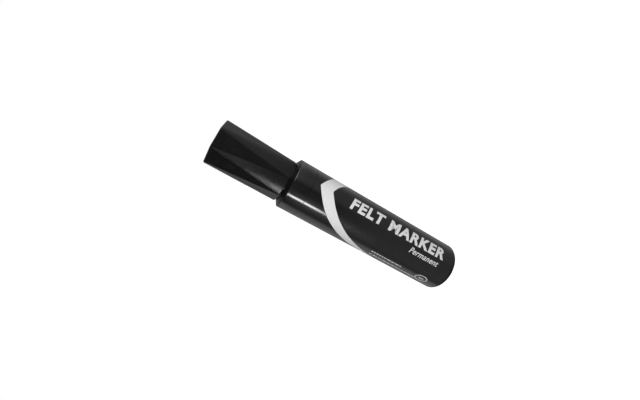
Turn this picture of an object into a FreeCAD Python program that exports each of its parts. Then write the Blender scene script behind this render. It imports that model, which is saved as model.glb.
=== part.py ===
"""Large felt tip marker with its faceted cap on, modelled in millimetres.

The marker stands upright: the origin is the centre of its base and +Z runs towards the cap.
Every piece is a separate solid. The cap and its seal slide off together along +Z.
"""

import math
import os

import FreeCAD
import Part

# Whole marker
TOTAL_LENGTH = 120.0
BODY_RADIUS = 11.4
CAP_LENGTH = 32.65

# Barrel: one tube, closed at the base
BARREL_WALL = 1.4
BASE_THICKNESS = 1.8
BASE_EDGE_ROUND = 2.35
BASE_DISH_RADIUS = 6.0
BASE_DISH_DEPTH = 0.3
SEAM_Z = 77.7
LABEL_START_Z = 2.6
LABEL_RECESS = 0.1
BARREL_RIB_COUNT = 6
BARREL_RIB_WIDTH = 1.0
BARREL_RIB_END_Z = 68.0
FLOOR_RIB_COUNT = 3
FLOOR_RIB_HEIGHT = 0.8

# Printed film round the barrel
LABEL_THICKNESS = 0.07
FILM_GAP = 0.01

# Nib holder: plug, collar with sloping shoulder, spigot for the cap, cone and nozzle
PLUG_DEPTH = 7.7
PLUG_RADIUS = 9.9
PLUG_BEAD_HEIGHT = 0.09
PLUG_BEAD_OFFSETS = (2.5, 5.2)
BEAD_HALF_WIDTH = 0.5
COLLAR_END_Z = 85.5
COLLAR_EDGE_ROUND = 0.15
SHOULDER_ROUND = 0.35
SLOPE_RADIUS = 9.3
SLOPE_Z = 86.72
SLOPE_ROUND = 0.8
NECK_RADIUS = 8.85
NECK_Z = 86.95
SPIGOT_RADIUS = 7.95
SPIGOT_BEAD_HEIGHT = 0.15
SPIGOT_BEAD_Z = 90.0
SPIGOT_END_Z = 97.0
SPIGOT_EDGE_ROUND = 0.3
CONE_START_RADIUS = 7.0
CONE_END_Z = 101.0
NOZZLE_RADIUS = 5.4
NOZZLE_END_Z = 106.0
NOZZLE_EDGE_ROUND = 0.4
HOLDER_WALL = 1.5
NIB_SOCKET_START_Z = 96.5

# Nib: a felt bar with a slanted chisel tip
NIB_WIDTH = 7.0
NIB_DEPTH = 4.6
NIB_CORNER_ROUND = 1.3
NIB_TAIL_Z = 76.0
NIB_TIP_Z = 112.2
NIB_TIP_DROP = 2.2
NIB_BEVEL_START_Z = 107.6
NIB_EDGE_DEPTH = 1.1
NIB_FIT_GAP = 0.02
VENT_WIDTH = 0.9
VENT_DEPTH = 0.6

# Ink reservoir: fibre bundle in a film wrap
RESERVOIR_RADIUS = 8.35
RESERVOIR_WRAP = 0.1
RESERVOIR_TOP_Z = 83.6
RESERVOIR_SIDE_GAP = 0.15

# Cap: seven flat triangles that narrow from the closed end to the mouth,
# with bulging patches between them that run the other way
FACET_COUNT = 7
FIRST_EDGE_ANGLE = -53.5
CAP_END_CORNER_RADIUS = 10.35
CAP_END_CORNER_ROUND = 1.2
CAP_END_EDGE_ROUND = 0.5
CAP_MOUTH_APEX_RADIUS = 9.72
CAP_MOUTH_PATCH_RADIUS = 9.17
CAP_MOUTH_APEX_WIDTH = 0.3
CAP_LIP_HEIGHT = 0.4
CAP_LIP_INSET = 0.25
CAP_SEAT_RADIUS = 8.15
CAP_BORE_RADIUS = 7.7
CAP_STOP_GAP = 0.3
CAP_ROOF_THICKNESS = 1.6

# Seal pressed into the cap's roof, with a skirt that closes on the nozzle
SEAL_DISC_THICKNESS = 1.0
SEAL_SKIRT_RADIUS = 6.6
SEAL_SKIRT_BORE = 5.7
SEAL_SKIRT_END_Z = 101.6
SEAL_LIP_BORE = 5.45
SEAL_LIP_HEIGHT = 1.6

# Places that follow from the sizes above
CAP_MOUTH_Z = TOTAL_LENGTH - CAP_LENGTH
CAP_ROOF_Z = TOTAL_LENGTH - CAP_ROOF_THICKNESS
CAP_STEP_Z = SPIGOT_END_Z + CAP_STOP_GAP
BARREL_BORE = BODY_RADIUS - BARREL_WALL
LABEL_BED_RADIUS = BODY_RADIUS - LABEL_RECESS
LABEL_BORE = LABEL_BED_RADIUS + FILM_GAP
PLUG_START_Z = SEAM_Z - PLUG_DEPTH
RESERVOIR_BASE_Z = BASE_THICKNESS + FLOOR_RIB_HEIGHT + FILM_GAP
WRAP_BORE = RESERVOIR_RADIUS + FILM_GAP
WRAP_RADIUS = WRAP_BORE + RESERVOIR_WRAP
RESERVOIR_CAVITY = WRAP_RADIUS + RESERVOIR_SIDE_GAP
FACET_STEP = 360.0 / FACET_COUNT

UP = FreeCAD.Vector(0, 0, 1)
ORIGIN = FreeCAD.Vector(0, 0, 0)


def outline_point(radius, z):
    """A point of an outline that will be turned about Z."""
    return FreeCAD.Vector(radius, 0, z)


def towards(start, end):
    """Unit vector from one point to another."""
    direction = end - start
    direction.normalize()
    return direction


def rounded_corner(before, corner, after, radius):
    """Start, middle and end of the arc that rounds a corner and touches both of its sides."""
    back = towards(corner, before)
    ahead = towards(corner, after)
    half_angle = back.getAngle(ahead) / 2
    reach = radius / math.tan(half_angle)
    bisector = back + ahead
    bisector.normalize()
    middle = corner + bisector * (radius / math.sin(half_angle) - radius)
    return corner + back * reach, middle, corner + ahead * reach


def rounded_wire(corners):
    """Closed wire through (point, rounding) corners."""
    count = len(corners)
    spans = []
    for index, (corner, radius) in enumerate(corners):
        before = corners[index - 1][0]
        after = corners[(index + 1) % count][0]
        if radius:
            spans.append(rounded_corner(before, corner, after, radius))
        else:
            spans.append((corner,))
    edges = []
    for index, span in enumerate(spans):
        if len(span) > 1:
            edges.append(Part.Arc(*span).toShape())
        following = spans[(index + 1) % count][0]
        edges.append(Part.LineSegment(span[-1], following).toShape())
    return Part.Wire(edges)


def turned(outline):
    """Solid of revolution about Z from (radius, z) or (radius, z, rounding) corners."""
    corners = []
    for radius, z, *rounding in outline:
        corners.append((outline_point(radius, z), rounding[0] if rounding else 0))
    face = Part.Face(rounded_wire(corners))
    return face.revolve(ORIGIN, UP, 360)


def tube(inner_radius, outer_radius, start_z, end_z):
    """Plain tube about Z."""
    return turned([
        (inner_radius, start_z),
        (outer_radius, start_z),
        (outer_radius, end_z),
        (inner_radius, end_z),
    ])


def bar(width, depth, start_z, end_z, corner_round):
    """Upright bar with a rounded rectangular section, centred on Z."""
    x = width / 2
    y = depth / 2
    corners = []
    for corner_x, corner_y in ((-x, -y), (x, -y), (x, y), (-x, y)):
        corners.append((FreeCAD.Vector(corner_x, corner_y, start_z), corner_round))
    face = Part.Face(rounded_wire(corners))
    return face.extrude(UP * (end_z - start_z))


def bead(radius, height, z):
    """Corners of a low rounded ring on a cylinder, for use inside an outline."""
    return [
        (radius, z - BEAD_HALF_WIDTH),
        (radius + height, z, BEAD_HALF_WIDTH / 2),
        (radius, z + BEAD_HALF_WIDTH),
    ]


def radial_ribs(count, width, inner_radius, outer_radius, start_z, end_z):
    """Upright ribs spaced evenly round Z, each from inner_radius to outer_radius."""
    ribs = []
    for index in range(count):
        size = (outer_radius - inner_radius, width, end_z - start_z)
        corner = FreeCAD.Vector(inner_radius, -width / 2, start_z)
        rib = Part.makeBox(*size, corner)
        rib.rotate(ORIGIN, UP, index * 360.0 / count)
        ribs.append(rib)
    return ribs


def make_barrel():
    """Tube with a closed base, a shallow bed for the film and ribs that centre the reservoir."""
    shell = turned([
        (0, BASE_DISH_DEPTH),
        (BASE_DISH_RADIUS - BASE_DISH_DEPTH, BASE_DISH_DEPTH),
        (BASE_DISH_RADIUS, 0),
        (BODY_RADIUS, 0, BASE_EDGE_ROUND),
        (BODY_RADIUS, LABEL_START_Z),
        (LABEL_BED_RADIUS, LABEL_START_Z),
        (LABEL_BED_RADIUS, SEAM_Z),
        (BARREL_BORE, SEAM_Z),
        (BARREL_BORE, BASE_THICKNESS, BARREL_WALL),
        (0, BASE_THICKNESS),
    ])
    rib_root = BARREL_BORE + BARREL_WALL / 4
    wall_ribs = radial_ribs(
        BARREL_RIB_COUNT, BARREL_RIB_WIDTH,
        RESERVOIR_CAVITY, rib_root, BASE_THICKNESS, BARREL_RIB_END_Z)
    floor_ribs = radial_ribs(
        FLOOR_RIB_COUNT, BARREL_RIB_WIDTH,
        BARREL_RIB_WIDTH, RESERVOIR_CAVITY, BASE_THICKNESS / 2, BASE_THICKNESS + FLOOR_RIB_HEIGHT)
    return shell.fuse(wall_ribs + floor_ribs).removeSplitter()


def make_label_sleeve():
    """Printed film that wraps the barrel from the base edge to the nib holder's collar."""
    return tube(LABEL_BORE, LABEL_BORE + LABEL_THICKNESS, LABEL_START_Z, SEAM_Z)


def make_nib_holder(nib_socket):
    """Front section: its plug grips the barrel, its spigot takes the cap, its nozzle grips the nib."""
    outline = [
        (RESERVOIR_CAVITY, PLUG_START_Z),
        (PLUG_RADIUS, PLUG_START_Z, BEAD_HALF_WIDTH),
    ]
    for offset in PLUG_BEAD_OFFSETS:
        outline += bead(PLUG_RADIUS, PLUG_BEAD_HEIGHT, PLUG_START_Z + offset)
    outline += [
        (PLUG_RADIUS, SEAM_Z),
        (BODY_RADIUS, SEAM_Z, COLLAR_EDGE_ROUND),
        (BODY_RADIUS, COLLAR_END_Z, SHOULDER_ROUND),
        (SLOPE_RADIUS, SLOPE_Z, SLOPE_ROUND),
        (NECK_RADIUS, NECK_Z),
        (SPIGOT_RADIUS, NECK_Z),
    ]
    outline += bead(SPIGOT_RADIUS, SPIGOT_BEAD_HEIGHT, SPIGOT_BEAD_Z)
    outline += [
        (SPIGOT_RADIUS, SPIGOT_END_Z, SPIGOT_EDGE_ROUND),
        (CONE_START_RADIUS, SPIGOT_END_Z),
        (NOZZLE_RADIUS, CONE_END_Z),
        (NOZZLE_RADIUS, NOZZLE_END_Z, NOZZLE_EDGE_ROUND),
        (0, NOZZLE_END_Z),
        (0, NIB_SOCKET_START_Z),
        (SPIGOT_RADIUS - HOLDER_WALL, NIB_SOCKET_START_Z, HOLDER_WALL),
        (SPIGOT_RADIUS - HOLDER_WALL, RESERVOIR_TOP_Z + RESERVOIR_SIDE_GAP),
        (RESERVOIR_CAVITY, RESERVOIR_TOP_Z + RESERVOIR_SIDE_GAP),
    ]
    body = turned(outline)
    vents = []
    for side in (-1, 1):
        centre_x = side * (NIB_WIDTH + VENT_DEPTH) / 2
        corner = FreeCAD.Vector(centre_x - VENT_DEPTH, -VENT_WIDTH / 2, NIB_SOCKET_START_Z - HOLDER_WALL)
        vent_height = NOZZLE_END_Z - corner.z + HOLDER_WALL
        vents.append(Part.makeBox(2 * VENT_DEPTH, VENT_WIDTH, vent_height, corner))
    return body.cut([nib_socket] + vents)


def make_nib():
    """Felt bar from the reservoir to a chisel edge that slants across the tip."""
    felt = bar(NIB_WIDTH, NIB_DEPTH, NIB_TAIL_Z, NIB_TIP_Z, NIB_CORNER_ROUND)
    reach = NIB_WIDTH
    for side in (-1, 1):
        wedge = Part.Wire(Part.makePolygon([
            FreeCAD.Vector(-reach, side * NIB_DEPTH / 2, NIB_BEVEL_START_Z),
            FreeCAD.Vector(-reach, side * NIB_EDGE_DEPTH / 2, NIB_TIP_Z),
            FreeCAD.Vector(-reach, side * NIB_DEPTH, NIB_TIP_Z),
            FreeCAD.Vector(-reach, side * NIB_DEPTH, NIB_BEVEL_START_Z),
            FreeCAD.Vector(-reach, side * NIB_DEPTH / 2, NIB_BEVEL_START_Z),
        ]))
        felt = felt.cut(Part.Face(wedge).extrude(FreeCAD.Vector(2 * reach, 0, 0)))
    slant = Part.Wire(Part.makePolygon([
        FreeCAD.Vector(-NIB_WIDTH / 2, -reach, NIB_TIP_Z - NIB_TIP_DROP),
        FreeCAD.Vector(NIB_WIDTH / 2, -reach, NIB_TIP_Z),
        FreeCAD.Vector(-NIB_WIDTH / 2, -reach, NIB_TIP_Z),
        FreeCAD.Vector(-NIB_WIDTH / 2, -reach, NIB_TIP_Z - NIB_TIP_DROP),
    ]))
    return felt.cut(Part.Face(slant).extrude(FreeCAD.Vector(0, 2 * reach, 0)))


def make_ink_reservoir(nib):
    """Fibre bundle with a socket at the top that the nib's tail is pushed into."""
    bundle = Part.makeCylinder(
        RESERVOIR_RADIUS, RESERVOIR_TOP_Z - RESERVOIR_BASE_Z, UP * RESERVOIR_BASE_Z)
    return bundle.cut(nib)


def make_reservoir_wrap():
    """Film tube that holds the fibre bundle together."""
    return tube(WRAP_BORE, WRAP_RADIUS, RESERVOIR_BASE_Z, RESERVOIR_TOP_Z)


def on_circle(radius, angle, z):
    """Point at a radius and an angle in degrees about Z."""
    turn = math.radians(angle)
    return FreeCAD.Vector(radius * math.cos(turn), radius * math.sin(turn), z)


def cap_end_wire(z):
    """Rounded heptagon at the cap's closed end: a corner arc, then a straight side, and so on."""
    corners = []
    for index in range(FACET_COUNT):
        angle = FIRST_EDGE_ANGLE + index * FACET_STEP
        corners.append((on_circle(CAP_END_CORNER_RADIUS, angle, z), CAP_END_CORNER_ROUND))
    return rounded_wire(corners)


def cap_mouth_wire(z, inset=0.0):
    """Nearly round outline at the mouth: a wide bulging arc, then a short straight apex, and so on.

    It has the same number of edges as the heptagon, and each apex stands under a straight side.
    """
    apex_radius = CAP_MOUTH_APEX_RADIUS - inset
    patch_radius = CAP_MOUTH_PATCH_RADIUS - inset
    half_apex = math.degrees(CAP_MOUTH_APEX_WIDTH / 2 / apex_radius)
    edges = []
    for index in range(FACET_COUNT):
        corner = FIRST_EDGE_ANGLE + index * FACET_STEP
        start = on_circle(apex_radius, corner - FACET_STEP / 2 + half_apex, z)
        middle = on_circle(patch_radius, corner, z)
        end = on_circle(apex_radius, corner + FACET_STEP / 2 - half_apex, z)
        following = on_circle(apex_radius, corner + FACET_STEP / 2 + half_apex, z)
        edges.append(Part.Arc(start, middle, end).toShape())
        edges.append(Part.LineSegment(end, following).toShape())
    return Part.Wire(edges)


def make_cap_shell():
    """Faceted cap with a bevelled lip at its mouth and a stepped bore."""
    outside = Part.makeLoft([
        cap_mouth_wire(CAP_MOUTH_Z, CAP_LIP_INSET),
        cap_mouth_wire(CAP_MOUTH_Z + CAP_LIP_HEIGHT),
        cap_end_wire(TOTAL_LENGTH),
    ], True, True)
    end_edges = [edge for edge in outside.Edges if edge.BoundBox.ZMin > CAP_ROOF_Z]
    outside = outside.makeFillet(CAP_END_EDGE_ROUND, end_edges)
    bore = turned([
        (0, CAP_MOUTH_Z - CAP_LIP_HEIGHT),
        (CAP_SEAT_RADIUS + CAP_LIP_INSET, CAP_MOUTH_Z - CAP_LIP_HEIGHT),
        (CAP_SEAT_RADIUS + CAP_LIP_INSET, CAP_MOUTH_Z),
        (CAP_SEAT_RADIUS, CAP_MOUTH_Z + CAP_LIP_INSET),
        (CAP_SEAT_RADIUS, CAP_STEP_Z),
        (CAP_BORE_RADIUS, CAP_STEP_Z),
        (CAP_BORE_RADIUS, CAP_ROOF_Z),
        (0, CAP_ROOF_Z),
    ])
    return outside.cut(bore)


def make_cap_seal():
    """Soft seal against the cap's roof: a disc with a skirt whose lip closes on the nozzle."""
    disc_z = CAP_ROOF_Z - SEAL_DISC_THICKNESS
    return turned([
        (0, CAP_ROOF_Z),
        (0, disc_z),
        (SEAL_SKIRT_BORE, disc_z),
        (SEAL_SKIRT_BORE, SEAL_SKIRT_END_Z + SEAL_LIP_HEIGHT),
        (SEAL_LIP_BORE, SEAL_SKIRT_END_Z + SEAL_LIP_HEIGHT / 2),
        (SEAL_LIP_BORE, SEAL_SKIRT_END_Z),
        (SEAL_SKIRT_RADIUS, SEAL_SKIRT_END_Z, (SEAL_SKIRT_RADIUS - SEAL_LIP_BORE) / 2),
        (SEAL_SKIRT_RADIUS, disc_z),
        (CAP_BORE_RADIUS - FILM_GAP, disc_z),
        (CAP_BORE_RADIUS - FILM_GAP, CAP_ROOF_Z),
    ])


def main():
    nib = make_nib()
    nib_socket = bar(
        NIB_WIDTH + 2 * NIB_FIT_GAP, NIB_DEPTH + 2 * NIB_FIT_GAP,
        NIB_TAIL_Z, TOTAL_LENGTH, NIB_CORNER_ROUND + NIB_FIT_GAP)
    pieces = {
        "barrel": make_barrel(),
        "label_sleeve": make_label_sleeve(),
        "nib_holder": make_nib_holder(nib_socket),
        "nib": nib,
        "ink_reservoir": make_ink_reservoir(nib),
        "reservoir_wrap": make_reservoir_wrap(),
        "cap_shell": make_cap_shell(),
        "cap_seal": make_cap_seal(),
    }
    os.makedirs("parts", exist_ok=True)
    for name, shape in pieces.items():
        shape.exportStep(f"parts/{name}.step")
        box = shape.BoundBox
        print(f"{name}: {len(shape.Solids)} solid, {shape.Volume:.1f} mm3, valid {shape.isValid()}, "
              f"z {box.ZMin:.2f} to {box.ZMax:.2f}")


main()
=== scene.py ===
"""Looks of a felt tip marker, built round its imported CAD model. Everything is in metres."""

import math
import random

import bmesh
import bpy
import numpy as np
from mathutils import Matrix, Vector
from mathutils.noise import noise


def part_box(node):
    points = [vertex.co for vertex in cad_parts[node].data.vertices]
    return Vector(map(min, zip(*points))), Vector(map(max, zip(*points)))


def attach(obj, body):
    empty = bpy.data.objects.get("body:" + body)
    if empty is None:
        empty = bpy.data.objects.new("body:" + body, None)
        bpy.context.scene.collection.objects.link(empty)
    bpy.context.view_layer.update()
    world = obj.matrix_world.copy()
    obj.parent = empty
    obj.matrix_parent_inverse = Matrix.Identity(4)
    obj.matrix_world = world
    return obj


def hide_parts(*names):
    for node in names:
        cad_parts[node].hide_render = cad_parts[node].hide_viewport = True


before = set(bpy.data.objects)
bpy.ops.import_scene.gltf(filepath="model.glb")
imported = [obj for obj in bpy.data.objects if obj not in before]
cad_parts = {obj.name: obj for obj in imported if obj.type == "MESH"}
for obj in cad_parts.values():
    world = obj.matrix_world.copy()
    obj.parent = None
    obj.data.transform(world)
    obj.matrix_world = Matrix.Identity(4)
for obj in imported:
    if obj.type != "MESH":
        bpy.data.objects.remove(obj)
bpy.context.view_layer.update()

MM = 0.001


# ---------------------------------------------------------------- sizes from the frame

LABEL_LOW, LABEL_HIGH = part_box("label_sleeve")
CAP_LOW, CAP_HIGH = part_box("cap_shell")
_, SEAL_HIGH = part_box("cap_seal")
_, HOLDER_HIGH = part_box("nib_holder")

LABEL_RADIUS = LABEL_HIGH.x
LABEL_THICKNESS = 0.07 * MM
SEAM_Z = LABEL_HIGH.z
CAP_MOUTH_Z = CAP_LOW.z
CAP_END_Z = CAP_HIGH.z

# Cap: seven flats that narrow towards the mouth, and bulging patches between them
FACETS = 7
FIRST_CORNER = math.radians(-53.5)
FACET_STEP = 2 * math.pi / FACETS
END_CORNER_RADIUS = 10.35 * MM
END_CORNER_ROUND = 1.2 * MM
END_EDGE_ROUND = 0.5 * MM
MOUTH_APEX_RADIUS = 9.72 * MM
MOUTH_PATCH_RADIUS = 9.17 * MM
MOUTH_APEX_WIDTH = 0.3 * MM
LIP_HEIGHT = 0.4 * MM
LIP_INSET = 0.25 * MM
SEAT_RADIUS = 8.15 * MM
SEAT_END_Z = CAP_MOUTH_Z + 9.95 * MM
BORE_RADIUS = 7.7 * MM
ROOF_Z = SEAL_HIGH.z
CREASE_ROUND = 0.28 * MM
GATE_RADIUS = 0.9 * MM
GATE_DEPTH = 0.12 * MM


# ---------------------------------------------------------------- camera

CAMERA_DISTANCE = 149.3 * MM
CAMERA_TILT = math.radians(13.83)
CAMERA_ROLL = math.radians(29.22)
CAMERA_LENS = 18.92
SENSOR_WIDTH = 36.0
LOOK_AT = Vector((0.12 * MM, 0, 0.5802 * CAP_END_Z))


def make_camera():
    """Looks down on the upright marker, turned so that the base points to the lower right."""
    data = bpy.data.cameras.new("camera")
    data.lens = CAMERA_LENS
    data.sensor_width = SENSOR_WIDTH
    data.clip_start = 0.005
    data.clip_end = 20
    camera = bpy.data.objects.new("camera", data)
    bpy.context.scene.collection.objects.link(camera)
    ahead = Vector((0, math.cos(CAMERA_TILT), -math.sin(CAMERA_TILT)))
    along = Vector((0, -math.sin(CAMERA_TILT), -math.cos(CAMERA_TILT)))
    across = Vector((-1, 0, 0))
    right = math.cos(CAMERA_ROLL) * along - math.sin(CAMERA_ROLL) * across
    up = -math.sin(CAMERA_ROLL) * along - math.cos(CAMERA_ROLL) * across
    turn = Matrix((right, up, -ahead)).transposed().to_4x4()
    camera.matrix_world = Matrix.Translation(LOOK_AT - ahead * CAMERA_DISTANCE) @ turn
    bpy.context.scene.camera = camera


make_camera()


# ---------------------------------------------------------------- material tools

PLASTIC_IOR = 1.5
SATIN_SPECULAR = 0.24
# Noise seldom leaves these ranges, so colours and roughness change from one end to the other
NOISE_RANGE = (0.3, 0.7)
PATCH_RANGE = (0.35, 0.7)
# How much smoother and how much duller than its roughness a moulded plastic gets in patches
SMOOTHER = 0.03
DULLER = 0.05


def new_material(name):
    """An empty node material with a Principled shader, its node tree and that shader."""
    material = bpy.data.materials.new(name)
    material.use_nodes = True
    tree = material.node_tree
    return material, tree, tree.nodes["Principled BSDF"]


def put(tree, socket, value):
    """Links another socket to this one, or sets its value."""
    if isinstance(value, bpy.types.NodeSocket):
        tree.links.new(value, socket)
    else:
        socket.default_value = value


def node(tree, kind, **inputs):
    """A new shader node with its inputs set by name or linked."""
    made = tree.nodes.new(kind)
    for key, value in inputs.items():
        put(tree, made.inputs[key.replace("_", " ")], value)
    return made


def noise_texture(tree, scale, detail, stretch=(1, 1, 1), roughness=0.5):
    """Noise from 0 to 1 over the object; scale is in features per metre."""
    source = tree.nodes.new("ShaderNodeTexCoord").outputs["Object"]
    stretched = node(tree, "ShaderNodeMapping", Vector=source, Scale=stretch).outputs["Vector"]
    made = node(
        tree, "ShaderNodeTexNoise", Vector=stretched,
        Scale=scale, Detail=detail, Roughness=roughness)
    return made.outputs["Fac"]


def remap(tree, value, low, high, out_low, out_high):
    """value mapped from one range to another, and kept inside it."""
    made = node(
        tree, "ShaderNodeMapRange", Value=value,
        From_Min=low, From_Max=high, To_Min=out_low, To_Max=out_high)
    return made.outputs["Result"]


def maths(tree, operation, first, second=0.0):
    """One arithmetic step."""
    made = tree.nodes.new("ShaderNodeMath")
    made.operation = operation
    for socket, value in zip(made.inputs, (first, second)):
        put(tree, socket, value)
    return made.outputs["Value"]


def mix_colour(tree, factor, first, second):
    """Two colours mixed by factor."""
    made = tree.nodes.new("ShaderNodeMix")
    made.data_type = "RGBA"
    tree.links.new(factor, made.inputs["Factor"])
    ends = [socket for socket in made.inputs if socket.type == "RGBA"]
    for socket, value in zip(ends, (first, second)):
        put(tree, socket, value if isinstance(value, bpy.types.NodeSocket) else (*value, 1))
    return next(socket for socket in made.outputs if socket.type == "RGBA")


def bump(tree, height, distance, strength, under=None):
    """Bump of the given depth in metres, on top of another one."""
    made = node(tree, "ShaderNodeBump", Height=height, Distance=distance, Strength=strength)
    if under:
        tree.links.new(under, made.inputs["Normal"])
    return made.outputs["Normal"]


def scratches(tree, scale, stretch, width):
    """Sparse thin lines, 1 on a scratch and 0 off it."""
    wander = noise_texture(tree, scale, detail=2, stretch=stretch)
    line = maths(tree, "ABSOLUTE", maths(tree, "SUBTRACT", wander, 0.5))
    thin = remap(tree, line, 0, width, 1, 0)
    patch = remap(tree, noise_texture(tree, scale / 4, detail=1), 0.52, 0.62, 0, 1)
    return maths(tree, "MULTIPLY", thin, patch)


def patchy(tree, value, roughness):
    """Roughness of a moulded plastic that is smoother and duller in patches."""
    return remap(tree, value, *PATCH_RANGE, roughness - SMOOTHER, roughness + DULLER)


def shaded(colour, factor):
    """A colour made lighter or darker."""
    return [channel * factor for channel in colour]


def surface(tree, shader, colour, roughness, normal):
    """Links a shader's colour, roughness and bump."""
    tree.links.new(colour, shader.inputs["Base Color"])
    tree.links.new(roughness, shader.inputs["Roughness"])
    tree.links.new(normal, shader.inputs["Normal"])


# ---------------------------------------------------------------- materials

def black_gloss(name, colour, roughness):
    """Moulded glossy black plastic: faint waviness, handling haze and a few hairline scratches."""
    material, tree, shader = new_material(name)
    haze = noise_texture(tree, scale=260, detail=5)
    marks = scratches(tree, scale=900, stretch=(1, 1, 0.06), width=0.006)
    dull = maths(tree, "MULTIPLY", marks, 0.12)
    swell = noise_texture(tree, scale=130, detail=1, stretch=(1, 1, 0.3))
    waves = bump(tree, swell, distance=0.006 * MM, strength=0.5)
    surface(
        tree, shader,
        colour=mix_colour(tree, haze, colour, shaded(colour, 1.5)),
        roughness=maths(tree, "ADD", patchy(tree, haze, roughness), dull),
        normal=bump(tree, marks, distance=-0.001 * MM, strength=0.6, under=waves))
    shader.inputs["IOR"].default_value = PLASTIC_IOR
    return material


def black_satin(name, colour, roughness):
    """Moulded satin black plastic: a fine spark-eroded grain, duller in patches."""
    material, tree, shader = new_material(name)
    grain = noise_texture(tree, scale=9000, detail=3, roughness=0.6)
    patches = noise_texture(tree, scale=320, detail=4)
    dents = noise_texture(tree, scale=620, detail=3)
    under = bump(tree, grain, distance=0.004 * MM, strength=0.7)
    surface(
        tree, shader,
        colour=mix_colour(tree, patches, colour, shaded(colour, 1.4)),
        roughness=patchy(tree, patches, roughness),
        normal=bump(tree, dents, distance=0.05 * MM, strength=0.5, under=under))
    shader.inputs["IOR"].default_value = PLASTIC_IOR
    shader.inputs["Specular IOR Level"].default_value = SATIN_SPECULAR
    return material


def white_ink(name, light, dark, pinhole):
    """Opaque white ink on film: slight mottling and pinholes, satin."""
    material, tree, shader = new_material(name)
    mottle = noise_texture(tree, scale=1800, detail=4)
    specks = remap(tree, noise_texture(tree, scale=5200, detail=2), 0.66, 0.74, 0, 1)
    base = mix_colour(tree, remap(tree, mottle, *NOISE_RANGE, 0, 1), light, dark)
    surface(
        tree, shader,
        colour=mix_colour(tree, specks, base, pinhole),
        roughness=remap(tree, mottle, *NOISE_RANGE, 0.42, 0.55),
        normal=bump(tree, mottle, distance=0.003 * MM, strength=0.6))
    return material


def felt(name, colour):
    """Ink-soaked felt: fibres that run up the nib, with a soft sheen."""
    material, tree, shader = new_material(name)
    fibres = noise_texture(tree, scale=5000, detail=5, stretch=(1, 1, 0.12), roughness=0.7)
    clumps = noise_texture(tree, scale=900, detail=3)
    under = bump(tree, clumps, distance=0.08 * MM, strength=0.6)
    light = remap(tree, fibres, *PATCH_RANGE, 0, 1)
    surface(
        tree, shader,
        colour=mix_colour(tree, light, colour, shaded(colour, 3.2)),
        roughness=remap(tree, clumps, *NOISE_RANGE, 0.62, 0.9),
        normal=bump(tree, fibres, distance=0.05 * MM, strength=0.9, under=under))
    shader.inputs["Sheen Weight"].default_value = 0.15
    shader.inputs["Sheen Roughness"].default_value = 0.5
    return material


def soft_plastic(name, colour):
    """Natural, slightly see-through polyethylene with a faint ink stain."""
    material, tree, shader = new_material(name)
    cloud = noise_texture(tree, scale=500, detail=4)
    stain = remap(tree, noise_texture(tree, scale=240, detail=3), 0.5, 0.75, 0, 1)
    cloudy = remap(tree, cloud, *NOISE_RANGE, 0, 1)
    base = mix_colour(tree, cloudy, colour, shaded(colour, 0.85))
    surface(
        tree, shader,
        colour=mix_colour(tree, stain, base, shaded(colour, 0.45)),
        roughness=remap(tree, cloud, *NOISE_RANGE, 0.3, 0.42),
        normal=bump(tree, cloud, distance=0.02 * MM, strength=0.5))
    shader.inputs["Subsurface Weight"].default_value = 0.3
    shader.inputs["Subsurface Scale"].default_value = 0.6 * MM
    return material


def reservoir_fibre(name, dark, light):
    """Bundle of ink-soaked polyester fibres that run along the barrel."""
    material, tree, shader = new_material(name)
    strands = noise_texture(tree, scale=7000, detail=4, stretch=(1, 1, 0.03))
    surface(
        tree, shader,
        colour=mix_colour(tree, strands, dark, light),
        roughness=remap(tree, strands, *NOISE_RANGE, 0.6, 0.85),
        normal=bump(tree, strands, distance=0.05 * MM, strength=0.8))
    return material


GLOSS = black_gloss("holder_gloss_black", (0.0042, 0.0042, 0.0046), 0.09)
BARREL_GLOSS = black_gloss("barrel_gloss_black", (0.0042, 0.0042, 0.0045), 0.11)
FILM = black_gloss("film_black", (0.0045, 0.0045, 0.0048), 0.11)
SATIN = black_satin("cap_satin_black", (0.0032, 0.0032, 0.0033), 0.21)
INK = white_ink("white_ink", (0.64, 0.645, 0.64), (0.58, 0.585, 0.58), (0.5, 0.5, 0.5))
FELT = felt("nib_felt_black", (0.010, 0.010, 0.012))
SEAL = soft_plastic("seal_natural", (0.62, 0.62, 0.58))
WRAP = soft_plastic("wrap_film_clear", (0.72, 0.72, 0.70))
FIBRE = reservoir_fibre("reservoir_fibre_black", (0.012, 0.012, 0.016), (0.05, 0.05, 0.06))


# ---------------------------------------------------------------- mesh tools

def add_piece(name, mesh, material, body):
    """Makes the object, gives it its material and lets it ride on a body."""
    piece = bpy.data.objects.new(name, mesh)
    bpy.context.scene.collection.objects.link(piece)
    mesh.materials.append(material)
    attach(piece, body)
    return piece


def to_mesh(name, made):
    """Turns a bmesh into a mesh."""
    mesh = bpy.data.meshes.new(name)
    made.to_mesh(mesh)
    made.free()
    return mesh


def ring_mesh(name, rows):
    """Closed mesh through rows of points that each go once round Z.

    A row of one point closes an end.
    """
    mesh = bmesh.new()
    made = [[mesh.verts.new(point) for point in row] for row in rows]
    for lower, upper in zip(made, made[1:] + made[:1]):
        if len(lower) == 1 and len(upper) == 1:
            continue
        count = max(len(lower), len(upper))
        for index in range(count):
            following = (index + 1) % count
            corners = [lower[index % len(lower)], lower[following % len(lower)],
                       upper[following % len(upper)], upper[index % len(upper)]]
            face = mesh.faces.new(dict.fromkeys(corners))
            face.smooth = True
    bmesh.ops.recalc_face_normals(mesh, faces=mesh.faces)
    return to_mesh(name, mesh)


def on_film(angle, z, lift):
    """Point on the film. angle is in radians, 0 at the front and positive towards -X."""
    radius = LABEL_RADIUS + lift
    return Vector((-radius * math.sin(angle), -radius * math.cos(angle), z))


# ---------------------------------------------------------------- cap

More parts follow.
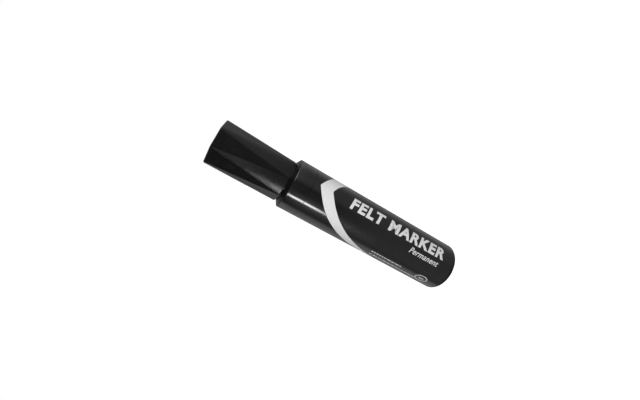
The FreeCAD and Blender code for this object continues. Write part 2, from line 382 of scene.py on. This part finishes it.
CAP_COLUMNS = 26        # columns of faces across each flat and each patch
CAP_DENSE = 12          # points of the worked outline for each of those columns
CAP_ROWS = 36           # rows of faces from the lip to the closed end
CAP_EDGE_ROWS = 6       # rows of faces round the lip and round the end's edge
CAP_SHARP_ANGLE = math.radians(40)
OUTLINE_SPACING = 0.03 * MM
END_RIMS = (0.97, 0.8, 0.4)     # rings of points on the closed end, as shares of its rim
GATE_FLOOR = 0.7                # width of the gate mark's floor as a share of its mouth


def eased(count):
    """Fractions from 0 to almost 1 that lie closer together at both ends."""
    return [(1 - math.cos(math.pi * index / count)) / 2 for index in range(count)]


def polar(radius, angle):
    """Point in the plane across Z."""
    return np.array([radius * math.cos(angle), radius * math.sin(angle)])


def arc(start, middle, end, fractions):
    """Points on the circle through three points."""
    a, b = 2 * (middle - start), 2 * (end - start)
    sums = [middle @ middle - start @ start, end @ end - start @ start]
    centre = np.linalg.solve(np.array([a, b]), np.array(sums))
    first, last = start - centre, end - centre
    radius = np.linalg.norm(first)
    begin = math.atan2(first[1], first[0])
    sweep = math.remainder(math.atan2(last[1], last[0]) - begin, 2 * math.pi)
    return [centre + polar(radius, begin + sweep * fraction) for fraction in fractions]


def line(start, end, fractions):
    """Points on a straight line."""
    return [start + (end - start) * fraction for fraction in fractions]


def mouth_outline(fractions):
    """Patch arc, apex, patch arc, and so on round the mouth."""
    half_apex = MOUTH_APEX_WIDTH / 2 / MOUTH_APEX_RADIUS
    points = []
    for index in range(FACETS):
        corner = FIRST_CORNER + index * FACET_STEP
        start = polar(MOUTH_APEX_RADIUS, corner - FACET_STEP / 2 + half_apex)
        end = polar(MOUTH_APEX_RADIUS, corner + FACET_STEP / 2 - half_apex)
        following = polar(MOUTH_APEX_RADIUS, corner + FACET_STEP / 2 + half_apex)
        points += arc(start, polar(MOUTH_PATCH_RADIUS, corner), end, fractions)
        points += line(end, following, fractions)
    return np.array(points)


def end_outline(fractions):
    """Corner arc, side, corner arc, and so on round the closed end."""
    half_turn = FACET_STEP / 2
    reach = END_CORNER_ROUND * math.tan(half_turn)
    inner = END_CORNER_RADIUS - END_CORNER_ROUND * (1 / math.cos(half_turn) - 1)
    points = []
    for index in range(FACETS):
        angle = FIRST_CORNER + index * FACET_STEP
        corner = polar(END_CORNER_RADIUS, angle)
        before = polar(END_CORNER_RADIUS, angle - FACET_STEP)
        after = polar(END_CORNER_RADIUS, angle + FACET_STEP)
        start = corner + (before - corner) / np.linalg.norm(before - corner) * reach
        end = corner + (after - corner) / np.linalg.norm(after - corner) * reach
        following = after + (corner - after) / np.linalg.norm(corner - after) * reach
        points += arc(start, polar(inner, angle), end, fractions)
        points += line(end, following, fractions)
    return np.array(points)


def round_creases(fine, places, width):
    """Softens the corners of a closed outline and returns it at some of its points."""
    ahead = np.roll(fine, -1, axis=0) - fine
    lengths = np.concatenate([[0], np.cumsum(np.linalg.norm(ahead, axis=1))])
    total = lengths[-1]
    count = int(total / OUTLINE_SPACING)
    even = np.arange(count) * total / count
    closed = np.vstack([fine, fine[:1]])
    samples = np.array([np.interp(even, lengths, closed[:, axis]) for axis in (0, 1)])
    reach = np.minimum(np.arange(count), count - np.arange(count)) * total / count
    kernel = np.exp(-0.5 * (reach / (width / 2)) ** 2)
    kernel /= kernel.sum()
    smooth = np.real(np.fft.ifft(np.fft.fft(samples, axis=1) * np.fft.fft(kernel), axis=1))
    smooth = np.hstack([smooth, smooth[:, :1]])
    at = lengths[:-1][places]
    return np.array([np.interp(at, np.append(even, total), smooth[axis]) for axis in (0, 1)]).T


def inset(outline, distance):
    """Closed outline moved inwards along its normals."""
    tangent = np.roll(outline, -1, axis=0) - np.roll(outline, 1, axis=0)
    tangent /= np.linalg.norm(tangent, axis=1)[:, None]
    normal = np.array([tangent[:, 1], -tangent[:, 0]]).T
    return outline - normal * distance


def at_height(outline, z):
    """Outline points lifted to a height."""
    return [(x, y, z) for x, y in outline]


def make_cap():
    """Cap with flats and patches whose creases are softly rounded, hollow like the CAD one."""
    coarse = eased(CAP_COLUMNS)
    fine = [near + (far - near) * step / CAP_DENSE
            for near, far in zip(coarse, coarse[1:] + [1.0]) for step in range(CAP_DENSE)]
    mouth, end = mouth_outline(fine), end_outline(fine)
    places = np.arange(0, len(mouth), CAP_DENSE)
    facet_z = CAP_MOUTH_Z + LIP_HEIGHT

    def section(z):
        share = (z - facet_z) / (CAP_END_Z - facet_z)
        return round_creases(mouth * (1 - share) + end * share, places, CREASE_ROUND)

    base = section(facet_z)
    angles = [math.atan2(y, x) for x, y in base]

    def round_row(radius, z):
        return [(radius * math.cos(angle), radius * math.sin(angle), z) for angle in angles]

    rows = [
        [(0, 0, ROOF_Z)],
        round_row(BORE_RADIUS, ROOF_Z),
        round_row(BORE_RADIUS, SEAT_END_Z),
        round_row(SEAT_RADIUS, SEAT_END_Z),
        round_row(SEAT_RADIUS, CAP_MOUTH_Z + LIP_INSET),
        round_row(SEAT_RADIUS + LIP_INSET, CAP_MOUTH_Z),
    ]
    for step in range(CAP_EDGE_ROWS):
        turn = math.pi / 2 * step / CAP_EDGE_ROWS
        z = facet_z - LIP_HEIGHT * math.cos(turn)
        rows.append(at_height(inset(base, LIP_INSET * (1 - math.sin(turn))), z))
    for step in range(CAP_ROWS):
        z = facet_z + (CAP_END_Z - END_EDGE_ROUND - facet_z) * step / CAP_ROWS
        rows.append(at_height(section(z), z))
    for step in range(CAP_EDGE_ROWS + 1):
        turn = math.pi / 2 * step / CAP_EDGE_ROWS
        z = CAP_END_Z - END_EDGE_ROUND * (1 - math.sin(turn))
        rows.append(at_height(inset(section(z), END_EDGE_ROUND * (1 - math.cos(turn))), z))
    rim = inset(section(CAP_END_Z), END_EDGE_ROUND)
    for share in END_RIMS:
        rows.append(at_height(rim * share, CAP_END_Z))
    rows.append(round_row(GATE_RADIUS, CAP_END_Z))
    rows.append(round_row(GATE_RADIUS * GATE_FLOOR, CAP_END_Z - GATE_DEPTH))
    rows.append([(0, 0, CAP_END_Z - GATE_DEPTH / 2)])
    mesh = ring_mesh("cap_body", rows)
    mesh.set_sharp_from_angle(angle=CAP_SHARP_ANGLE)
    cap = add_piece("cap_body", mesh, SATIN, "cap")
    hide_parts("cap_shell")


make_cap()


# ---------------------------------------------------------------- printed film

FILM_COLUMNS = 360
FILM_SHARP_ANGLE = math.radians(30)
BUTT_JOINT_WIDTH = math.radians(0.9)
BUTT_JOINT_DEPTH = 0.04 * MM
INK_LIFT = 0.012 * MM
INK_ROOT = -0.01 * MM
WRAP_STEP = 0.22 * MM
SAME_POINT = 1e-5

# Stripe: where its apex is, how far round each of its two arms reaches, and how the arms run.
# Each edge falls from its apex by so many mm for each degree, square degree and cubic degree.
# Then come the turn at which an arm starts to taper, and over how many degrees it does.
STRIPE_APEX_ANGLE = -30.5
STRIPE_FRONT_Z = SEAM_Z - 2.8 * MM
STRIPE_REAR_Z = SEAM_Z - 9.0 * MM
STRIPE_ENDS = (-177, 127)
STRIPE_PLUS_X_ARM = ((0.104, 0.0006, 0.0), (0.084, 0.0015, 0.0), 62, 85)
STRIPE_MINUS_X_ARM = ((0.0922, 0.00091, 0.000008), (0.09, 0.0013, 0.000007), 115, 45)
STRIPE_TAPER = 1.6
STRIPE_ROWS = 5
STRIPE_STEPS_PER_DEGREE = 2

# Small print: each row's place across and its start and end along the barrel
SMALL_ROWS = ((0.0, -0.4 * MM, 15.9 * MM), (-2.5 * MM, 0.0, 24.6 * MM))
SMALL_START_Z = 39.3 * MM
SMALL_ANGLE = math.radians(47.6)
SMALL_BAR_LENGTHS_MM = (0.7, 2.2)
SMALL_BAR_HALF_WIDTH = 0.27 * MM
SMALL_GAP = 0.38 * MM
SMALL_SEED = 4

# Oval mark: half its length and half its height, outside and inside, and the bar across it
OVAL_OUTER = (3.3 * MM, 2.3 * MM)
OVAL_INNER = (2.9 * MM, 1.9 * MM)
OVAL_BAR_HALF_LENGTH = 1.3 * MM
OVAL_BAR_HALF_WIDTH = 0.3 * MM
OVAL_Z = 11.0 * MM
OVAL_ANGLE = math.radians(50.5)
OVAL_POINTS = 64


def film_row(radius, z):
    """Points round the film. It dips where its two ends meet at the back."""
    points = []
    for index in range(FILM_COLUMNS):
        angle = 2 * math.pi * index / FILM_COLUMNS
        from_back = abs(math.remainder(angle - math.pi, 2 * math.pi))
        dip = BUTT_JOINT_DEPTH * max(0.0, 1 - from_back / BUTT_JOINT_WIDTH)
        points.append((-(radius - dip) * math.sin(angle), -(radius - dip) * math.cos(angle), z))
    return points


def make_film():
    """Thin film with softened edges."""
    bore = LABEL_RADIUS - LABEL_THICKNESS
    edge = LABEL_THICKNESS / 3
    rows = [
        film_row(bore, LABEL_LOW.z),
        film_row(LABEL_RADIUS - edge, LABEL_LOW.z),
        film_row(LABEL_RADIUS, LABEL_LOW.z + edge),
        film_row(LABEL_RADIUS, SEAM_Z - edge),
        film_row(LABEL_RADIUS - edge, SEAM_Z),
        film_row(bore, SEAM_Z),
    ]
    mesh = ring_mesh("label_film", rows)
    mesh.set_sharp_from_angle(angle=FILM_SHARP_ANGLE)
    film = add_piece("label_film", mesh, FILM, "marker")
    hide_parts("label_sleeve")


def wrap_print(name, flat, start_z, angle):
    """Wraps a flat bmesh round the film as ink and makes it a piece.

    Its x runs from start_z towards the base, its y round the film towards +X from angle,
    and its z from 0 to 1 through the ink.
    """
    heights = [vertex.co.y for vertex in flat.verts]
    low, high = min(heights), max(heights)
    for step in range(1, int((high - low) / WRAP_STEP) + 1):
        cut = Vector((0, low + step * WRAP_STEP, 0))
        parts = flat.verts[:] + flat.edges[:] + flat.faces[:]
        bmesh.ops.bisect_plane(flat, geom=parts, plane_co=cut, plane_no=(0, 1, 0))
    for vertex in flat.verts:
        along, across, through = vertex.co
        lift = INK_ROOT + (INK_LIFT - INK_ROOT) * through
        vertex.co = on_film(angle - across / LABEL_RADIUS, start_z - along, lift)
    add_piece(name, to_mesh(name, flat), INK, "marker")


def slab(flat, start, end, middle, half_width):
    """Adds a closed bar of ink to a flat bmesh, from start to end in x and about middle in y."""
    low, high = middle - half_width, middle + half_width
    outline = [(start, low), (end, low), (end, high), (start, high)]
    bottom = [flat.verts.new((x, y, 0)) for x, y in outline]
    top = [flat.verts.new((x, y, 1)) for x, y in outline]
    flat.faces.new(bottom[::-1])
    flat.faces.new(top)
    for index in range(len(outline)):
        following = (index + 1) % len(outline)
        flat.faces.new((bottom[index], bottom[following], top[following], top[index]))


def print_words(name, words, start_z, angle, length, height, weight, shear, spacing):
    """Words in the plain built-in letters, fitted to a length and height.

    angle is in degrees, weight thickens the letters, shear slants them and spacing parts them.
    """
    curve = bpy.data.curves.new(name + "_letters", "FONT")
    curve.body = words
    curve.offset = weight
    curve.shear = shear
    curve.space_character = spacing
    curve.extrude = 0.5
    letters = bpy.data.objects.new(name + "_letters", curve)
    bpy.context.scene.collection.objects.link(letters)
    bpy.context.view_layer.update()
    depsgraph = bpy.context.evaluated_depsgraph_get()
    mesh = bpy.data.meshes.new_from_object(letters.evaluated_get(depsgraph))
    bpy.data.objects.remove(letters)
    flat = bmesh.new()
    flat.from_mesh(mesh)
    bmesh.ops.remove_doubles(flat, verts=flat.verts, dist=SAME_POINT)
    xs = [vertex.co.x for vertex in flat.verts]
    ys = [vertex.co.y for vertex in flat.verts]
    for vertex in flat.verts:
        vertex.co.x = (vertex.co.x - min(xs)) / (max(xs) - min(xs)) * length
        vertex.co.y = ((vertex.co.y - min(ys)) / (max(ys) - min(ys)) - 0.5) * height
        vertex.co.z += 0.5
    wrap_print(name, flat, start_z, math.radians(angle))


def edge_fall(turn, rates):
    """How far an edge of the stripe lies below its apex, some degrees round from it."""
    linear, square, cubic = rates
    return (linear * turn + square * turn ** 2 + cubic * turn ** 3) * MM


def stripe_edges(angle):
    """Heights of the stripe's front and rear edge at an angle in degrees."""
    turn = abs(angle - STRIPE_APEX_ANGLE)
    arm = STRIPE_PLUS_X_ARM if angle < STRIPE_APEX_ANGLE else STRIPE_MINUS_X_ARM
    front_rates, rear_rates, taper_start, taper_span = arm
    front = STRIPE_FRONT_Z - edge_fall(turn, front_rates)
    rear = STRIPE_REAR_Z - edge_fall(turn, rear_rates)
    taper = max(0.0, (turn - taper_start) / taper_span)
    return front, rear + (front - rear) * taper ** STRIPE_TAPER


def make_stripe():
    """White stripe with its point near the collar. It runs back round the barrel both ways."""
    first, last = STRIPE_ENDS
    columns = []
    for step in range(STRIPE_STEPS_PER_DEGREE * (last - first) + 1):
        angle = first + step / STRIPE_STEPS_PER_DEGREE
        front, rear = stripe_edges(angle)
        column = []
        for lift in (INK_ROOT, INK_LIFT):
            for share in range(STRIPE_ROWS + 1):
                z = rear + (front - rear) * share / STRIPE_ROWS
                column.append(on_film(math.radians(angle), z, lift))
        columns.append(column)
    mesh = bmesh.new()
    made = [[mesh.verts.new(point) for point in column] for column in columns]
    inner = list(range(STRIPE_ROWS + 1))
    loop = inner + [STRIPE_ROWS + 1 + index for index in reversed(inner)]
    for near, far in zip(made, made[1:]):
        for index, following in zip(loop, loop[1:] + loop[:1]):
            mesh.faces.new((near[index], near[following], far[following], far[index]))
    for column in (made[0], made[-1]):
        for index in range(STRIPE_ROWS):
            corners = (index, index + 1, STRIPE_ROWS + 2 + index, STRIPE_ROWS + 1 + index)
            mesh.faces.new([column[corner] for corner in corners])
    bmesh.ops.recalc_face_normals(mesh, faces=mesh.faces)
    add_piece("print_stripe", to_mesh("print_stripe", mesh), INK, "marker")


def make_fine_print():
    """Two rows of small blank bars where a real label has its small print."""
    draws = random.Random(SMALL_SEED)
    flat = bmesh.new()
    for middle, x, row_end in SMALL_ROWS:
        while x < row_end:
            bar = draws.uniform(*SMALL_BAR_LENGTHS_MM) * MM
            slab(flat, x, x + bar, middle, SMALL_BAR_HALF_WIDTH)
            x += bar + SMALL_GAP
    wrap_print("print_small_rows", flat, SMALL_START_Z, SMALL_ANGLE)


def ellipse(half_length, half_height):
    """Points round an ellipse."""
    turns = [2 * math.pi * index / OVAL_POINTS for index in range(OVAL_POINTS)]
    return [(half_length * math.cos(turn), half_height * math.sin(turn)) for turn in turns]


def make_oval():
    """Plain oval ring with a bar across it."""
    flat = bmesh.new()
    outer_low, inner_low, outer_high, inner_high = [
        [flat.verts.new((x, y, z)) for x, y in ellipse(*size)]
        for z in (0, 1) for size in (OVAL_OUTER, OVAL_INNER)]
    walls = [
        (inner_low, outer_low), (outer_high, inner_high),
        (outer_low, outer_high), (inner_high, inner_low),
    ]
    for index in range(OVAL_POINTS):
        following = (index + 1) % OVAL_POINTS
        for near, far in walls:
            flat.faces.new((near[index], near[following], far[following], far[index]))
    slab(flat, -OVAL_BAR_HALF_LENGTH, OVAL_BAR_HALF_LENGTH, 0.0, OVAL_BAR_HALF_WIDTH)
    wrap_print("print_oval", flat, OVAL_Z, OVAL_ANGLE)


make_film()
make_stripe()
print_words(
    "print_title", "FELT MARKER", start_z=59.6 * MM, angle=-30.9, length=51.5 * MM,
    height=5.7 * MM, weight=0.04, shear=0.2, spacing=1.13)
print_words(
    "print_subtitle", "Permanent", start_z=25.7 * MM, angle=-3.0, length=16.2 * MM,
    height=2.7 * MM, weight=0.012, shear=0.3, spacing=1.05)
make_fine_print()
make_oval()


# ---------------------------------------------------------------- nib

NIB_VOXEL = 0.16 * MM
NIB_SMOOTHING = 5
NIB_WORN_ABOVE_Z = HOLDER_HIGH.z
NIB_WEAR_FADE = 2 * MM
# Relief of the worn felt: features in each mm of x, y and z, and heights in mm
NIB_FIBRES = (3.5, 3.5, 0.5)
NIB_LUMPS = 0.8
NIB_RELIEF_MM = 0.05
NIB_WEAR_MM = 0.04


def make_nib():
    """The CAD nib with worn, rounded edges and a fibrous surface."""
    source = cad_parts["nib"]
    copy = bpy.data.objects.new("nib_work", source.data.copy())
    bpy.context.scene.collection.objects.link(copy)
    remesh = copy.modifiers.new("remesh", "REMESH")
    remesh.mode = "VOXEL"
    remesh.voxel_size = NIB_VOXEL
    soften = copy.modifiers.new("soften", "SMOOTH")
    soften.iterations = NIB_SMOOTHING
    bpy.context.view_layer.update()
    depsgraph = bpy.context.evaluated_depsgraph_get()
    mesh = bpy.data.meshes.new_from_object(copy.evaluated_get(depsgraph))
    bpy.data.objects.remove(copy)
    mesh.name = "felt_nib"
    normals = [vertex.normal.copy() for vertex in mesh.vertices]
    for vertex, normal in zip(mesh.vertices, normals):
        place = vertex.co / MM
        fibre = noise(Vector([at * rate for at, rate in zip(place, NIB_FIBRES)]))
        lump = noise(place * NIB_LUMPS)
        height = NIB_RELIEF_MM * fibre + NIB_RELIEF_MM * lump - NIB_WEAR_MM
        share = min(max((vertex.co.z - NIB_WORN_ABOVE_Z) / NIB_WEAR_FADE, 0.0), 1.0)
        vertex.co += normal * height * MM * share
    mesh.shade_smooth()
    mesh.materials.clear()
    piece = add_piece("felt_nib", mesh, FELT, "marker")
    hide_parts("nib")


make_nib()


# ---------------------------------------------------------------- finishes of the CAD nodes

FINISHES = {
    "barrel": BARREL_GLOSS,
    "nib_holder": GLOSS,
    "cap_seal": SEAL,
    "ink_reservoir": FIBRE,
    "reservoir_wrap": WRAP,
}
for node_name, finish in FINISHES.items():
    for material_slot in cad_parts[node_name].material_slots:
        material_slot.material = finish


# ---------------------------------------------------------------- floor and light

FLOOR_SIZE = 6.0
FLOOR_GLOW = 0.76
FLOOR_COLOUR = 0.8
KEY_POWER = 0.55
KEY_SIZE = 0.12
KEY_DISTANCE = 1.6      # times as far from the origin as the camera
WORLD_DIFFUSE = 0.45    # glow of the world on matt surfaces

# Brightness of the studio round the marker, by angle from the front, positive towards -X.
# The rear of the barrel mirrors the low panels, its front the middle ones and the cap the
# upper ones.
LOW_PANELS = [
    (-180, 0.08), (-156, 0.28), (-136, 0.5), (-124, 0.5), (-107, 0.44), (-97, 0.38),
    (-85, 0.38), (-42, 0.42), (-31, 0.37), (-21, 0.34), (10, 0.37), (22, 0.39), (57, 0.4),
    (63, 0.36), (74, 0.29), (84, 0.24), (92, 0.5), (100, 0.83), (142, 0.52), (160, 0.26),
    (180, 0.08),
]
MIDDLE_PANELS = [
    (-180, 0.08), (-156, 0.32), (-136, 0.62), (-124, 0.66), (-107, 0.54), (-97, 0.4),
    (-85, 0.38), (-42, 0.44), (-31, 0.33), (-21, 0.1), (10, 0.13), (22, 0.42), (33, 0.85),
    (57, 0.85), (63, 0.5), (74, 0.28), (88, 0.2), (95, 0.5), (103, 0.83), (142, 0.52),
    (160, 0.26), (180, 0.08),
]
UPPER_PANELS = [
    (-180, 0.08), (-156, 0.32), (-129, 0.46), (-112, 0.65), (-100, 0.95), (-92, 0.95),
    (-78, 0.85), (-44, 0.85), (-32, 0.5), (-22, 0.14), (-12, 0.22), (30, 0.2), (48, 0.15),
    (60, 0.12), (76, 0.06), (88, 0.06), (97, 0.95), (112, 1.1), (120, 0.95), (127, 0.65),
    (136, 0.4), (145, 0.33), (160, 0.26), (180, 0.08),
]
# Heights in degrees over the horizon between which one ring of panels passes into the next
LOW_JOINT = (-25, -15)
UPPER_JOINT = (-10, -7.5)
# Heights between which the panels fade to the dark, above and below
STUDIO_TOP = (25, 50)
STUDIO_BOTTOM = (-60, -42)
STUDIO_DARK = 0.1
# Lamps: angle, half width, lowest and highest edge, how softly those edges fade, and glow
LAMPS = [
    (47.4, 5.6, -16.0, -7.5, 1.2, 22.0),
    (-112.0, 16.0, -8.8, -5.0, 1.6, 0.8),
    (19.0, 18.0, -5.5, 5.5, 2.5, 1.4),
    (-58.0, 6.0, 18.0, 55.0, 6.0, 12.0),
    (-86.0, 22.0, 18.0, 55.0, 6.0, 3.5),
]
LAMP_CORE = 0.6     # share of a lamp's half width that glows evenly
LAMP_LEAN = 0.35    # degrees that a lamp leans sideways for each degree of height


def make_floor():
    """Plain white floor that glows a little, so that it stays white.

    Reflections look past it to the lights.
    """
    mesh = bpy.data.meshes.new("floor")
    half = FLOOR_SIZE / 2
    corners = [(-half, -half, 0), (half, -half, 0), (half, half, 0), (-half, half, 0)]
    mesh.from_pydata(corners, [], [(0, 1, 2, 3)])
    floor = bpy.data.objects.new("floor", mesh)
    bpy.context.scene.collection.objects.link(floor)
    material, _, shader = new_material("floor_white")
    shader.inputs["Base Color"].default_value = (FLOOR_COLOUR,) * 3 + (1,)
    shader.inputs["Roughness"].default_value = 1
    shader.inputs["Specular IOR Level"].default_value = 0
    shader.inputs["Emission Color"].default_value = (1, 1, 1, 1)
    shader.inputs["Emission Strength"].default_value = FLOOR_GLOW
    mesh.materials.append(material)
    floor.visible_glossy = False
    floor.visible_diffuse = False


def make_key_light():
    """Soft light from behind the camera, on the print and the floor. Nothing mirrors it."""
    data = bpy.data.lights.new("key", "AREA")
    data.shape = "DISK"
    data.size = KEY_SIZE
    data.energy = KEY_POWER
    key = bpy.data.objects.new("key", data)
    bpy.context.scene.collection.objects.link(key)
    camera = bpy.context.scene.camera
    place = camera.matrix_world.translation * KEY_DISTANCE
    aim = (LOOK_AT - place).to_track_quat("-Z", "Y").to_matrix().to_4x4()
    key.matrix_world = Matrix.Translation(place) @ aim
    key.visible_glossy = False
    key.visible_camera = False


def panel_ring(tree, degrees, panels):
    """Brightness of a ring of light panels at an angle in degrees."""
    ramp = tree.nodes.new("ShaderNodeValToRGB")
    tree.links.new(remap(tree, degrees, -180, 180, 0, 1), ramp.inputs["Fac"])
    stops = ramp.color_ramp.elements
    for at, _ in panels[1:-1]:
        stops.new((at + 180) / 360)
    for stop, (_, brightness) in zip(stops, panels):
        stop.color = (brightness, brightness, brightness, 1)
    return ramp.outputs["Color"]


def make_world():
    """White for the camera, even light for matt surfaces, and a studio for reflections."""
    world = bpy.data.worlds.new("studio")
    bpy.context.scene.world = world
    world.use_nodes = True
    tree = world.node_tree
    tree.nodes.clear()
    direction = tree.nodes.new("ShaderNodeTexCoord").outputs["Generated"]
    split = node(tree, "ShaderNodeSeparateXYZ", Vector=direction)
    back_x = maths(tree, "MULTIPLY", split.outputs["X"], -1.0)
    back_y = maths(tree, "MULTIPLY", split.outputs["Y"], -1.0)
    degrees = maths(tree, "DEGREES", maths(tree, "ARCTAN2", back_x, back_y))
    rise = maths(tree, "DEGREES", maths(tree, "ARCSINE", split.outputs["Z"]))
    leaned = maths(tree, "SUBTRACT", degrees, maths(tree, "MULTIPLY", rise, LAMP_LEAN))
    below = remap(tree, rise, *STUDIO_BOTTOM, STUDIO_DARK, 1)
    above = remap(tree, rise, *STUDIO_TOP, 1, STUDIO_DARK)
    low, middle, upper = (
        panel_ring(tree, degrees, panels)
        for panels in (LOW_PANELS, MIDDLE_PANELS, UPPER_PANELS))
    ring = mix_colour(tree, remap(tree, rise, *LOW_JOINT, 0, 1), low, middle)
    ring = mix_colour(tree, remap(tree, rise, *UPPER_JOINT, 0, 1), ring, upper)
    studio = maths(tree, "MULTIPLY", ring, maths(tree, "MULTIPLY", below, above))
    for lamp_angle, half_width, low_edge, high_edge, fade, glow in LAMPS:
        beside = maths(tree, "ABSOLUTE", maths(tree, "SUBTRACT", leaned, lamp_angle))
        strip = remap(tree, beside, half_width * LAMP_CORE, half_width, glow, 0)
        starts = remap(tree, rise, low_edge, low_edge + fade, 0, 1)
        ends = remap(tree, rise, high_edge - fade, high_edge, 1, 0)
        lamp = maths(tree, "MULTIPLY", strip, maths(tree, "MULTIPLY", starts, ends))
        studio = maths(tree, "ADD", studio, lamp)
    path = tree.nodes.new("ShaderNodeLightPath")
    diffuse = maths(tree, "MULTIPLY", path.outputs["Is Diffuse Ray"], WORLD_DIFFUSE)
    camera_or_diffuse = maths(tree, "ADD", path.outputs["Is Camera Ray"], diffuse)
    reflected = maths(tree, "MULTIPLY", studio, path.outputs["Is Glossy Ray"])
    strength = maths(tree, "ADD", camera_or_diffuse, reflected)
    background = node(tree, "ShaderNodeBackground", Strength=strength)
    background.inputs["Color"].default_value = (1, 1, 1, 1)
    output = tree.nodes.new("ShaderNodeOutputWorld")
    tree.links.new(background.outputs["Background"], output.inputs["Surface"])


make_floor()
make_key_light()
make_world()
bpy.context.scene.view_settings.view_transform = "Standard"
bpy.context.scene.view_settings.look = "None"
